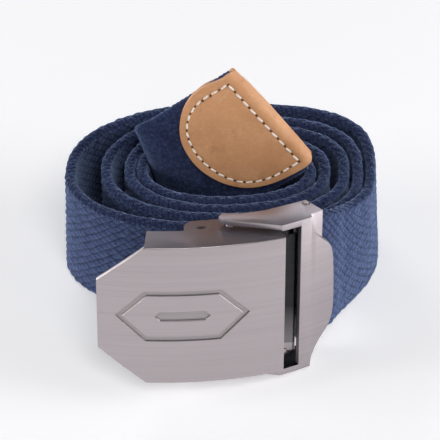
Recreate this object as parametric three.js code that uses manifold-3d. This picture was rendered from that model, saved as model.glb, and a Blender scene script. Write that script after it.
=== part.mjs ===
// Coiled webbing belt with a hinged plate buckle, in millimetres, Z up, standing on its edge on Z = 0.
import * as THREE from "three";
import { mergeVertices } from "three/addons/utils/BufferGeometryUtils.js";
import Module from "manifold-3d";

const wasm = await Module();
wasm.setup();

// Driving dimensions
const GAP = 0.3;
const STRAP = { width: 38, thick: 2.8, edgeRound: 0.8, step: 4.2, tipThick: 2, tipTaper: 12 };
const LEATHER = { depth: 28.2, width: 38.4, wall: 1.1, cornerRound: 2.2 };
const PLATE = { length: 51.2, height: 42.6, bow: 92, wall: 1.2, flange: 9.1, cutAlong: 13, cutDown: 10.5 };
const EAR = { from: -1.5, to: 14.6, depth: 12.6, round: 2.4, holeAt: 3.8, holeLong: 3, holeWide: 1.3 };
const FRAME = { height: 47.5, wall: 1.5, rail: 1.75, start: 23.75, slotEnd: 29.7, neck: 33.1, tabHeight: 9, lift: 0.4 };
const ARM = { tip: 9.6, tipFront: 9, tipBack: 11.6, rootBack: 9.3, endBack: 8.4, end: 37.6 };

// Free side of the end frame's face, from its top corner to its bottom corner, beyond the neck
const FRAME_SIDE = [
  { beyond: 0, height: 23.75 },
  { beyond: 0.3, height: 20.6 },
  { beyond: 1.4, height: 17.9 },
  { beyond: 3.6, height: 15.8 },
  { beyond: 6.2, height: 13.2 },
  { beyond: 7.3, height: 10 },
  { beyond: 7.7, height: 4.5 },
  { beyond: 7.9, height: -2 },
  { beyond: 7.8, height: -7 },
  { beyond: 7.3, height: -10 },
  { beyond: 6.0, height: -12.8 },
  { beyond: 3.6, height: -15.6 },
  { beyond: 1.7, height: -18.4 },
  { beyond: 0.7, height: -21 },
  { beyond: 0.3, height: -23.75 },
];
const HINGE = { along: 12.3, depth: 10.2, pinRadius: 1.1, turnDeg: 7.2 };
const SPRING = { wire: 0.5, turns: 3.5, radius: 2, pitch: 0.9, from: 15.6 };
const CAM = { along: 28.2, depth: 8.5, radius: 3.2, half: 19.8, cheek: 2, cheekFrom: 18, cheekDepth: 5.8 };
const CLAMP = { along: 36, depth: 6.9, radius: 1.3, rivet: 0.8 };
const GROOVE = { length: 36, height: 15.5, nose: 7.5, width: 1.3, deep: 0.45, inset: 3.4, centre: -2.5 };

// Place of the buckle: middle of the cover's face, its turn, its lean and its roll
const BUCKLE = { x: -7.45, y: -64.45, z: 28.05, turnDeg: 5.2, leanDeg: 15, rollDeg: 1.5 };

// The coil: half-widths of each quarter turn about its middle, counter-clockwise from the right side.
// square is the exponent of the quarter's superellipse, lean turns the strap's top edge inwards, sway adds
// to the lean halfway along the quarter.
const COIL_MIDDLE = { x: 0, y: -17 };
const COIL = [
  { reach: 43.0, square: 3.2, lean: 3.6, sway: 0 },
  { reach: 25.6, square: 2.05, lean: 0.5, sway: 0 },
  { reach: 42.2, square: 2.15, lean: 2.4, sway: -4.2 },
  { reach: 22.1, square: 2.6, lean: -1, sway: 0 },
  { reach: 38.3, square: 2.9, lean: 0, sway: 0 },
  { reach: 20.4, square: 2.1, lean: 0, sway: 0 },
  { reach: 31.7, square: 2.2, lean: 0, sway: 0 },
  { reach: 19.0, square: 2.4, lean: 0, sway: 0 },
  { reach: 34.6, square: 2.7, lean: 0, sway: 0 },
  { reach: 17.1, square: 2.1, lean: 0, sway: 0 },
  { reach: 25.2, square: 2.1, lean: 0, sway: 0 },
  { reach: 15.8, square: 2.3, lean: 0, sway: 0 },
  { reach: 29.2, square: 2.4, lean: 0, sway: 0 },
  { reach: 13.6, square: 2.1, lean: 0, sway: 0 },
  { reach: 21.9, square: 2.1, lean: 0, sway: 0 },
  { reach: 12.6, square: 2.2, lean: 0, sway: 0 },
  { reach: 25.2, square: 2.2, lean: 0, sway: 0 },
];
const COIL_STEPS = 8;

// Fixed end of the strap inside the end frame: way along the bow and depth of its middle line, and its
// lift above the frame's middle
const CLAMPED = [
  { along: 31.9, depth: 3.85 },
  { along: 34.4, depth: 3.85 },
  { along: 36.8, depth: 3.9 },
];
const CLAMPED_LIFT = 2.3;

// From the end frame's mouth to the coil's right side: middle line and the strap's width direction
const LEAD_IN = [
  { x: 30.2, y: -41.6, z: 23.6, wx: 0, wy: 0.17, wz: 0.985 },
  { x: 33.1, y: -36.9, z: 21.6, wx: 0, wy: 0.09, wz: 0.996 },
  { x: 36.8, y: -31.9, z: 19.7, wx: 0, wy: 0.03, wz: 1 },
  { x: 40.9, y: -25.4, z: 19, wx: -0.01, wy: 0, wz: 1 },
];

// The free end: it turns back at the left of the hollow, rises to the right and leans back
const FREE_END = [
  { x: 17, y: -9.1, z: 19.6, wx: 0, wy: 0, wz: 1 },
  { x: 4, y: -7.1, z: 21.5, wx: -0.06, wy: 0.02, wz: 1 },
  { x: -7.5, y: -7.8, z: 25.4, wx: -0.15, wy: 0.02, wz: 0.98 },
  { x: -14.8, y: -10.2, z: 29.6, wx: -0.23, wy: 0, wz: 0.97 },
  { x: -17.4, y: -13.6, z: 32.4, wx: -0.26, wy: 0, wz: 0.965 },
  { x: -15.4, y: -16.6, z: 34.6, wx: -0.37, wy: 0.05, wz: 0.93 },
];
const TIP = { x: 15.5, y: -15.6, z: 55.9 };
const TIP_ALONG = new THREE.Vector3(0.857, 0.111, 0.616).normalize();
const TIP_ACROSS = new THREE.Vector3(-0.59, 0.174, 0.789);
const TIP_STRAIGHT = [26.5, 24.5, 16, 8, 0];

const COLOURS = {
  webbing: { color: 0x35406b, roughness: 0.95, metalness: 0 },
  leather: { color: 0xb98a62, roughness: 0.7, metalness: 0 },
  nickel: { color: 0xb3a9ab, roughness: 0.35, metalness: 1 },
  dark: { color: 0x2f2f36, roughness: 0.25, metalness: 1 },
};

// Solids from closed geometries and back
function solid(geometry) {
  const bare = geometry.clone();
  bare.deleteAttribute("normal");
  bare.deleteAttribute("uv");
  const merged = mergeVertices(bare, 1e-4);
  const mesh = new wasm.Mesh({
    numProp: 3,
    vertProperties: new Float32Array(merged.attributes.position.array),
    triVerts: new Uint32Array(merged.index.array),
  });
  return new wasm.Manifold(mesh);
}

function geometryOf(body) {
  const mesh = body.getMesh();
  const geometry = new THREE.BufferGeometry();
  geometry.setAttribute("position", new THREE.BufferAttribute(new Float32Array(mesh.vertProperties), 3));
  geometry.setIndex(new THREE.BufferAttribute(new Uint32Array(mesh.triVerts), 1));
  geometry.computeVertexNormals();
  return geometry;
}

function named(name, geometry, finish) {
  const mesh = new THREE.Mesh(geometry, new THREE.MeshStandardMaterial(COLOURS[finish]));
  mesh.name = name;
  return mesh;
}

// Buckle frame: X runs along the belt, Y into the buckle from its face, Z across the belt.
// A point on the bowed face is given by its way along the bow and its depth behind it.
function bowPoint(along, depth) {
  const angle = along / PLATE.bow;
  const radius = PLATE.bow - depth;
  return new THREE.Vector2(radius * Math.sin(angle), PLATE.bow - radius * Math.cos(angle));
}

// A bowed wall between two depths, standing across the belt from one height to another
function bowedWall(from, to, depthOut, depthIn, low, high, steps = 12) {
  const outer = [];
  const inner = [];
  for (let i = 0; i <= steps; i++) {
    const along = from + ((to - from) * i) / steps;
    outer.push(bowPoint(along, depthOut));
    inner.unshift(bowPoint(along, depthIn));
  }
  return prism([...outer, ...inner], low, high);
}

function prism(points, low, high) {
  const geometry = new THREE.ExtrudeGeometry(new THREE.Shape(points), { depth: high - low, bevelEnabled: false });
  geometry.translate(0, 0, low);
  return solid(geometry);
}

// An outline in belt length and height, made a block that runs through the bowed face
function throughFace(points, depthOut = -8, depthIn = 20) {
  const geometry = new THREE.ExtrudeGeometry(new THREE.Shape(points), { depth: depthIn - depthOut, bevelEnabled: false });
  geometry.rotateX(Math.PI / 2);
  geometry.translate(0, depthIn, 0);
  return solid(geometry);
}

function rod(along, depth, radius, low, high, sides = 16) {
  const geometry = new THREE.CylinderGeometry(radius, radius, high - low, sides);
  geometry.rotateX(Math.PI / 2);
  const at = bowPoint(along, depth);
  geometry.translate(at.x, at.y, (low + high) / 2);
  return solid(geometry);
}

function hingeRod(radius, low, high, sides = 16) {
  return rod(HINGE.along, HINGE.depth, radius, low, high, sides);
}

const flat = (along) => bowPoint(along, 0).x;

// Cover plate: bowed face with two cut corners, top and bottom flanges, hinge ears and an engraved ornament
function coverPlate() {
  const half = PLATE.length / 2;
  const top = PLATE.height / 2;
  const cut = -half + PLATE.cutAlong;
  const outline = [
    new THREE.Vector2(flat(-half), -top + PLATE.cutDown),
    new THREE.Vector2(flat(cut), -top),
    new THREE.Vector2(flat(half), -top),
    new THREE.Vector2(flat(half), top),
    new THREE.Vector2(flat(cut), top),
    new THREE.Vector2(flat(-half), top - PLATE.cutDown),
  ];
  let body = bowedWall(-half, half, 0, PLATE.wall, -top, top, 24).intersect(throughFace(outline));
  for (const side of [-1, 1]) {
    const low = side > 0 ? top - PLATE.wall : -top;
    body = body.add(bowedWall(cut, half, 0, PLATE.flange, low, low + PLATE.wall, 16));
    body = body.add(earSolid(low, low + PLATE.wall));
    body = body.subtract(hingeRod(HINGE.pinRadius + GAP, low - 1, low + PLATE.wall + 1));
  }
  return body.subtract(ornament());
}

function earSolid(low, high) {
  const start = bowPoint(EAR.from, PLATE.flange - 1);
  const end = bowPoint(EAR.to, PLATE.flange - 1);
  const depth = EAR.depth - PLATE.flange + 1;
  const shape = new THREE.Shape();
  shape.moveTo(0, 0);
  shape.lineTo(end.x - start.x, end.y - start.y);
  shape.lineTo(end.x - start.x, depth - EAR.round);
  shape.absarc(end.x - start.x - EAR.round, depth - EAR.round, EAR.round, 0, Math.PI / 2, false);
  shape.absarc(EAR.round, depth - EAR.round, EAR.round, Math.PI / 2, Math.PI, false);
  shape.lineTo(0, 0);
  const hole = new THREE.Path();
  const holeX = bowPoint(EAR.holeAt, 0).x - start.x;
  const holeY = depth - EAR.round;
  hole.absellipse(holeX, holeY, EAR.holeLong / 2, EAR.holeWide / 2, 0, Math.PI * 2, true);
  shape.holes.push(hole);
  const geometry = new THREE.ExtrudeGeometry(shape, { depth: high - low, bevelEnabled: false, curveSegments: 6 });
  geometry.translate(start.x, start.y, low);
  return solid(geometry);
}

// Engraved ornament: a long six-sided ring with a bar inside it, cut to an even depth into the bowed face
function ornament() {
  const ring = sixSided(GROOVE.length, GROOVE.height, GROOVE.nose);
  const inside = GROOVE.width;
  const ringHole = sixSided(GROOVE.length - 2.4 * inside, GROOVE.height - 2 * inside, GROOVE.nose - 0.4 * inside);
  const barLong = GROOVE.length - 4 * GROOVE.inset - GROOVE.nose;
  const bar = sixSided(barLong, 2 * GROOVE.width, GROOVE.width);
  const skin = bowedWall(-PLATE.length / 2, PLATE.length / 2, -3, GROOVE.deep, -20, 20, 24);
  const lines = throughFace(ring).subtract(throughFace(ringHole)).add(throughFace(bar));
  return lines.intersect(skin);
}

function sixSided(long, high, nose) {
  const x = long / 2;
  const y = high / 2;
  const at = (dx, dy) => new THREE.Vector2(GROOVE.centre + dx, dy);
  return [at(-x, 0), at(-x + nose, -y), at(x - nose, -y), at(x, 0), at(x - nose, y), at(-x + nose, y)];
}

// Bar behind the cover's inner end, with two cheeks that lie against the insides of the cover's flanges
function camBar() {
  let body = rod(CAM.along, CAM.depth, CAM.radius - 0.3, -CAM.half, CAM.half, 24);
  for (const side of [-1, 1]) {
    const low = side > 0 ? CAM.half - CAM.cheek : -CAM.half;
    const high = low + CAM.cheek;
    body = body.add(rod(CAM.along, CAM.depth, CAM.radius, low, high, 24));
    body = body.add(bowedWall(CAM.cheekFrom, CAM.along, CAM.cheekDepth, PLATE.flange - 0.3, low, high, 6));
  }
  return body;
}

// End frame: face with coved corners, flanges with arms to the hinge, and a slot beside the cover
function endFrame() {
  const top = FRAME.height / 2;
  const neck = FRAME.neck;
  const farEnd = neck + 8;
  let body = bowedWall(FRAME.start, farEnd, 0, FRAME.wall, -top, top, 14).intersect(throughFace(faceOutline()));
  const slotTop = top - FRAME.rail;
  body = body.subtract(bowedWall(FRAME.start - 3, FRAME.slotEnd, -2, 4, -slotTop, slotTop, 4));
  body = body.add(prism(armOutline(ARM.end), top - FRAME.wall, top));
  body = body.add(prism(armOutline(neck), -top, -top + FRAME.wall));
  body = body.add(bowedWall(neck - 2, ARM.end, FRAME.wall - 0.1, FRAME.wall + 0.6, top - FRAME.tabHeight, top, 3));
  const pocket = top - 0.4;
  body = body.subtract(hingeRod(HINGE.pinRadius + GAP, -pocket, pocket));
  return body.subtract(rod(CLAMP.along, CLAMP.depth, CLAMP.rivet + GAP, -top - 1, top + 1));
}

function faceOutline() {
  const top = FRAME.height / 2;
  const left = flat(FRAME.start);
  const side = new THREE.SplineCurve(
    FRAME_SIDE.map((p) => new THREE.Vector2(flat(FRAME.neck + p.beyond), p.height)),
  );
  return [new THREE.Vector2(left, top), new THREE.Vector2(left, -top), ...side.getPoints(34).reverse()];
}

// Outline of a flange and its arm, seen across the belt
function armOutline(end) {
  const front = [
    bowPoint(ARM.tip, ARM.tipFront),
    bowPoint(ARM.tip + 3.4, ARM.tipFront - 1.9),
    bowPoint(FRAME.start, 0),
    bowPoint((FRAME.start + FRAME.neck) / 2, 0),
    bowPoint(FRAME.neck, 0),
    bowPoint(FRAME.neck, FRAME.wall - 0.1),
    bowPoint(end, FRAME.wall - 0.1),
  ];
  const back = [
    bowPoint(ARM.end - 0.4, ARM.endBack),
    bowPoint(FRAME.start, ARM.rootBack),
    bowPoint(ARM.tip + 7, ARM.rootBack + 0.9),
    bowPoint(ARM.tip + 1, ARM.tipBack + 0.6),
    bowPoint(ARM.tip - 0.6, ARM.tipBack - 1),
  ];
  return end > FRAME.neck ? [...front, ...back] : [...front.slice(0, 6), ...back];
}

function hingePin() {
  const reach = FRAME.height / 2 - 0.4 - GAP;
  return hingeRod(HINGE.pinRadius, -reach, reach);
}

// Open coil of wire on the hinge pin
class Helix extends THREE.Curve {
  getPoint(t, target = new THREE.Vector3()) {
    const at = bowPoint(HINGE.along, HINGE.depth);
    const a = t * SPRING.turns * Math.PI * 2;
    const z = SPRING.from - t * SPRING.turns * SPRING.pitch;
    return target.set(at.x + SPRING.radius * Math.cos(a), at.y + SPRING.radius * Math.sin(a), z);
  }
}

function hingeSpring() {
  const wire = new THREE.Shape();
  const sides = 6;
  for (let i = 0; i < sides; i++) {
    const a = (i / sides) * Math.PI * 2;
    const x = (SPRING.wire / 2) * Math.cos(a);
    const y = (SPRING.wire / 2) * Math.sin(a);
    if (i === 0) {
      wire.moveTo(x, y);
    } else {
      wire.lineTo(x, y);
    }
  }
  wire.closePath();
  return new THREE.ExtrudeGeometry(wire, { steps: 42, extrudePath: new Helix(), bevelEnabled: false });
}

// Bar that holds the strap's fixed end against the frame's face, riveted through both flanges
function clampBar() {
  const inner = FRAME.height / 2 - FRAME.wall - GAP;
  const bar = rod(CLAMP.along, CLAMP.depth, CLAMP.radius, -inner, inner, 12);
  return bar.add(rod(CLAMP.along, CLAMP.depth, CLAMP.rivet, 0.1 - FRAME.height / 2, FRAME.height / 2 + 0.25, 12));
}

// Turns of the buckle and of its end frame about the hinge
function buckleMatrix() {
  const turn = THREE.MathUtils.degToRad(BUCKLE.turnDeg);
  const lean = THREE.MathUtils.degToRad(BUCKLE.leanDeg);
  const roll = THREE.MathUtils.degToRad(BUCKLE.rollDeg);
  const level = new THREE.Vector3(Math.sin(turn), -Math.cos(turn), 0);
  const up = new THREE.Vector3(0, 0, 1);
  const out = level.clone().multiplyScalar(Math.cos(lean)).addScaledVector(up, Math.sin(lean));
  const rise = level.clone().multiplyScalar(-Math.sin(lean)).addScaledVector(up, Math.cos(lean));
  const side = new THREE.Vector3().crossVectors(rise, out);
  const along = side.clone().multiplyScalar(Math.cos(roll)).addScaledVector(rise, -Math.sin(roll));
  const across = side.clone().multiplyScalar(Math.sin(roll)).addScaledVector(rise, Math.cos(roll));
  const matrix = new THREE.Matrix4().makeBasis(along, out.clone().negate(), across);
  return matrix.setPosition(BUCKLE.x, BUCKLE.y, BUCKLE.z);
}

function frameMatrix() {
  const at = bowPoint(HINGE.along, HINGE.depth);
  const there = new THREE.Matrix4().makeTranslation(at.x, at.y, FRAME.lift);
  const turn = new THREE.Matrix4().makeRotationZ(THREE.MathUtils.degToRad(HINGE.turnDeg));
  const back = new THREE.Matrix4().makeTranslation(-at.x, -at.y, 0);
  return there.multiply(turn).multiply(back);
}

// Middle line of the strap: a list of places, each with the direction of the strap's width
function strapRoute() {
  const route = [];
  const toWorld = buckleMatrix().multiply(frameMatrix());
  const across = new THREE.Vector3(0, 0, 1).transformDirection(toWorld);
  for (const r of CLAMPED) {
    const at = bowPoint(r.along, r.depth);
    route.push({ at: new THREE.Vector3(at.x, at.y, CLAMPED_LIFT).applyMatrix4(toWorld), across });
  }
  route.push(...rows(LEAD_IN));
  for (let i = 0; i + 1 < COIL.length; i++) {
    for (let k = 0; k < COIL_STEPS; k++) {
      route.push(coilPlace(i, k / COIL_STEPS));
    }
  }
  route.push(coilPlace(COIL.length - 2, 1));
  route.push(...rows(FREE_END));
  const tipEnd = new THREE.Vector3(TIP.x, TIP.y, TIP.z);
  const strapShort = STRAP.tipThick / 2 + 2 * GAP + LEATHER.wall;
  for (const back of TIP_STRAIGHT) {
    route.push({ at: tipEnd.clone().addScaledVector(TIP_ALONG, -back - strapShort), across: tipAcross() });
  }
  return route;
}

function rows(table) {
  return table.map((r) => ({
    at: new THREE.Vector3(r.x, r.y, r.z),
    across: new THREE.Vector3(r.wx, r.wy, r.wz).normalize(),
  }));
}

function tipAcross() {
  const across = TIP_ACROSS.clone();
  return across.addScaledVector(TIP_ALONG, -across.dot(TIP_ALONG)).normalize();
}

// A place in one quarter turn: part runs from 0 to 1, and the way along the quarter is nearly even
function coilPlace(quarter, part) {
  const a = COIL[quarter];
  const b = COIL[quarter + 1];
  const angle = (part * Math.PI) / 2;
  const power = 2 / a.square;
  const c = Math.pow(Math.cos(angle), power) * (part < 1 ? 1 : 0);
  const s = Math.pow(Math.sin(angle), power);
  const turn = (quarter % 4) * (Math.PI / 2);
  const first = new THREE.Vector2(Math.cos(turn), Math.sin(turn));
  const second = new THREE.Vector2(-first.y, first.x);
  const out = first.clone().multiplyScalar(a.reach * c).addScaledVector(second, b.reach * s);
  const normal = first.clone().multiplyScalar(c / a.reach).addScaledVector(second, s / b.reach).normalize();
  const leanDeg = THREE.MathUtils.lerp(a.lean, b.lean, part) + a.sway * Math.sin(Math.PI * part);
  const lean = THREE.MathUtils.degToRad(leanDeg);
  const across = new THREE.Vector3(-normal.x * Math.sin(lean), -normal.y * Math.sin(lean), Math.cos(lean));
  const z = (STRAP.width / 2) * Math.cos(lean) + (STRAP.thick / 2) * Math.abs(Math.sin(lean));
  return { at: new THREE.Vector3(COIL_MIDDLE.x + out.x, COIL_MIDDLE.y + out.y, z), across };
}

// Even stations along the route
function strapStations() {
  const route = strapRoute();
  const middle = new THREE.CatmullRomCurve3(route.map((r) => r.at), false, "centripetal");
  const width = new THREE.CatmullRomCurve3(route.map((r) => r.across), false, "catmullrom", 0.5);
  const count = (route.length - 1) * 12;
  const samples = [];
  let run = 0;
  for (let i = 0; i <= count; i++) {
    const at = middle.getPoint(i / count);
    run += i ? at.distanceTo(samples[i - 1].at) : 0;
    samples.push({ at, across: width.getPoint(i / count).normalize(), run });
  }
  const stations = [];
  const steps = Math.round(run / STRAP.step);
  let j = 0;
  for (let i = 0; i <= steps; i++) {
    const want = (run * i) / steps;
    while (j < count - 1 && samples[j + 1].run < want) {
      j++;
    }
    const part = (want - samples[j].run) / (samples[j + 1].run - samples[j].run || 1);
    stations.push({
      at: samples[j].at.clone().lerp(samples[j + 1].at, part),
      across: samples[j].across.clone().lerp(samples[j + 1].across, part).normalize(),
      ahead: samples[j + 1].at.clone().sub(samples[j].at).normalize(),
      run: want,
    });
  }
  return { stations, length: run };
}

// Strap: a section with rounded edges carried along the stations
function strapGeometry({ stations, length }) {
  const w = STRAP.width / 2;
  const t = STRAP.thick / 2;
  const r = STRAP.edgeRound;
  const section = [
    [-w, -t + r],
    [-w + r, -t],
    [w - r, -t],
    [w, -t + r],
    [w, t - r],
    [w - r, t],
    [-w + r, t],
    [-w, t - r],
  ];
  const ring = section.length;
  const points = [];
  const first = length - LEATHER.depth - STRAP.tipTaper;
  for (const s of stations) {
    const out = new THREE.Vector3().crossVectors(s.ahead, s.across).normalize();
    const pressed = THREE.MathUtils.smoothstep(s.run, first, first + STRAP.tipTaper);
    const share = THREE.MathUtils.lerp(1, STRAP.tipThick / STRAP.thick, pressed);
    for (const [a, b] of section) {
      points.push(s.at.clone().addScaledVector(s.across, a).addScaledVector(out, b * share));
    }
  }
  const faces = [];
  for (let i = 0; i + 1 < stations.length; i++) {
    for (let k = 0; k < ring; k++) {
      const a = i * ring + k;
      const b = i * ring + ((k + 1) % ring);
      faces.push(a, b, b + ring, a, b + ring, a + ring);
    }
  }
  const last = (stations.length - 1) * ring;
  for (let k = 1; k + 1 < ring; k++) {
    faces.push(0, k + 1, k);
    faces.push(last, last + k, last + k + 1);
  }
  const geometry = new THREE.BufferGeometry().setFromPoints(points);
  geometry.setIndex(faces);
  geometry.computeVertexNormals();
  return geometry;
}

// Leather tip: one piece folded over the strap's end, both flaps cut to a D
function leatherTip() {
  const half = LEATHER.width / 2;
  const room = STRAP.tipThick / 2 + GAP;
  const thick = room + LEATHER.wall;
  const shape = new THREE.Shape();
  const r = LEATHER.cornerRound;
  shape.moveTo(0, -half + r);
  shape.lineTo(0, half - 0.8);
  shape.lineTo(-0.8, half);
  const steps = 20;
  for (let i = 1; i < steps; i++) {
    const a = (i / steps) * Math.PI;
    const bulge = Math.pow(Math.sin(a), 0.9);
    shape.lineTo(-0.8 - (LEATHER.depth - 0.8) * bulge, half * Math.cos(a));
  }
  shape.lineTo(-r, -half);
  shape.absarc(-r, -half + r, r, -Math.PI / 2, 0, false);
  const flaps = new THREE.ExtrudeGeometry(shape, { depth: 8, bevelEnabled: false, curveSegments: 5 });
  flaps.translate(0, 0, -4);
  const fold = new THREE.Shape();
  fold.moveTo(-40, -thick);
  fold.absarc(-thick, 0, thick, -Math.PI / 2, Math.PI / 2, false);
  fold.lineTo(-40, thick);
  fold.lineTo(-40, room);
  fold.lineTo(-thick, room);
  fold.lineTo(-thick, -room);
  fold.lineTo(-40, -room);
  const folded = new THREE.ExtrudeGeometry(fold, { depth: 50, bevelEnabled: false, curveSegments: 8 });
  folded.rotateX(-Math.PI / 2);
  folded.translate(0, -25, 0);
  return solid(flaps).intersect(solid(folded));
}

function tipMatrix() {
  const across = tipAcross();
  const out = new THREE.Vector3().crossVectors(TIP_ALONG, across);
  return new THREE.Matrix4().makeBasis(TIP_ALONG, across, out).setPosition(TIP.x, TIP.y, TIP.z);
}

function placed(object, matrix) {
  object.applyMatrix4(matrix);
  return object;
}

const belt = new THREE.Group();
const strap = strapStations();
belt.add(named("strap_webbing", strapGeometry(strap), "webbing"));
belt.add(placed(named("leather_tip", geometryOf(leatherTip()), "leather"), tipMatrix()));

const buckle = placed(new THREE.Group(), buckleMatrix());
buckle.add(named("cover_plate", geometryOf(coverPlate()), "nickel"));
buckle.add(named("cam_bar", geometryOf(camBar()), "dark"));
const frame = placed(new THREE.Group(), frameMatrix());
frame.add(named("end_frame", geometryOf(endFrame()), "nickel"));
frame.add(named("hinge_pin", geometryOf(hingePin()), "nickel"));
frame.add(named("hinge_spring", hingeSpring(), "nickel"));
frame.add(named("clamp_bar", geometryOf(clampBar()), "nickel"));
buckle.add(frame);
belt.add(buckle);

// The origin is under the middle of the whole, on the surface it stands on
const box = new THREE.Box3().setFromObject(belt, true);
belt.position.set(-(box.min.x + box.max.x) / 2, -(box.min.y + box.max.y) / 2, -box.min.z);

export default belt;
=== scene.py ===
import math

import bpy
import numpy as np
from mathutils import Matrix, Vector


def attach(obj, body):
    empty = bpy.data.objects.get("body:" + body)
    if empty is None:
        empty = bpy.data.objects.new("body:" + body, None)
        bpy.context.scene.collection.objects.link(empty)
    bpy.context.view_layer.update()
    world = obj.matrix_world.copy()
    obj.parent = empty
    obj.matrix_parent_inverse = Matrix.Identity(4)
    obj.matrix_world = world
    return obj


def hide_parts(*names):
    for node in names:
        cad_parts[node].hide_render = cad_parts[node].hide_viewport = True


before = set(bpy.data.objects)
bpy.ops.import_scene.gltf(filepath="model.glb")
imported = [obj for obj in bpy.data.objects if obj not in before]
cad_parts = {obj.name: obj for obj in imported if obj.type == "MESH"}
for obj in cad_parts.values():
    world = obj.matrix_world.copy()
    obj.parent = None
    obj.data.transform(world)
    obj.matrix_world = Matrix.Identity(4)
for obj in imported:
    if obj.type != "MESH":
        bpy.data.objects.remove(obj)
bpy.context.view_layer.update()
mm = 0.001


def clearSelection():
    if bpy.context.object and bpy.context.object.mode != "OBJECT":
        bpy.ops.object.mode_set(mode="OBJECT")
    bpy.ops.object.select_all(action="DESELECT")


def pick(piece):
    clearSelection()
    piece.select_set(True)
    bpy.context.view_layer.objects.active = piece


def applyAll(piece):
    pick(piece)
    for modifier in list(piece.modifiers):
        bpy.ops.object.modifier_apply(modifier=modifier.name)


def readPoints(piece):
    points = np.zeros(len(piece.data.vertices) * 3)
    piece.data.vertices.foreach_get("co", points)
    return points.reshape(-1, 3)


def writePoints(piece, points):
    piece.data.vertices.foreach_set("co", np.asarray(points, float).ravel())
    piece.data.update()


def settle(piece, body, slotName, *nodes):  # rides on its body and stands for the nodes
    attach(piece, body)
    if nodes:
        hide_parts(*nodes)


def facing(at, aim):  # how a lamp or a camera there is turned to look at the aim
    return (Vector(aim) - Vector(at)).to_track_quat("-Z", "Y").to_euler()


def easeIn(value, start, over):  # 0 up to the start, 1 past the stretch after it
    share = np.clip((value - start) / over, 0, 1)
    return share**2 * (3 - 2 * share)


def gridPiece(name, columns, rows):  # a sheet of faces to be rolled up, with each point's column and row
    clearSelection()
    bpy.ops.mesh.primitive_grid_add(x_subdivisions=columns, y_subdivisions=rows, size=1)
    piece = bpy.context.object
    piece.name = name
    grid = readPoints(piece) + 0.5
    return piece, np.rint(grid[:, 0] * columns).astype(int), np.rint(grid[:, 1] * rows).astype(int)


def joined(pieces, name):
    clearSelection()
    for piece in pieces:
        piece.select_set(True)
    bpy.context.view_layer.objects.active = pieces[0]
    bpy.ops.object.join()
    pieces[0].name = name
    return pieces[0]


def faceOutwards(piece):
    pick(piece)
    bpy.ops.object.mode_set(mode="EDIT")
    bpy.ops.mesh.select_all(action="SELECT")
    bpy.ops.mesh.normals_make_consistent(inside=False)
    bpy.ops.object.mode_set(mode="OBJECT")


def closeUp(piece, merge, openEnds=True):  # joins the points that meet within merge, in mm, and closes the ends
    pick(piece)
    bpy.ops.object.mode_set(mode="EDIT")
    bpy.ops.mesh.select_all(action="SELECT")
    bpy.ops.mesh.remove_doubles(threshold=merge * mm)
    bpy.ops.mesh.select_all(action="SELECT")
    if openEnds:
        bpy.ops.mesh.fill_holes(sides=0)
    faceOutwards(piece)


def roundEdges(piece, width, segments, degrees):  # edges sharper than the angle
    edges = piece.modifiers.new("edges", "BEVEL")
    edges.width = width * mm
    edges.segments = segments
    edges.limit_method = "ANGLE"
    edges.angle_limit = math.radians(degrees)
    applyAll(piece)


def combine(piece, other, operation, finishes="INDEX"):  # uses the other solid up
    step = piece.modifiers.new(operation, "BOOLEAN")
    step.operation = operation
    step.solver = "EXACT"
    step.material_mode = finishes
    step.object = other
    applyAll(piece)
    bpy.data.objects.remove(other)


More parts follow.
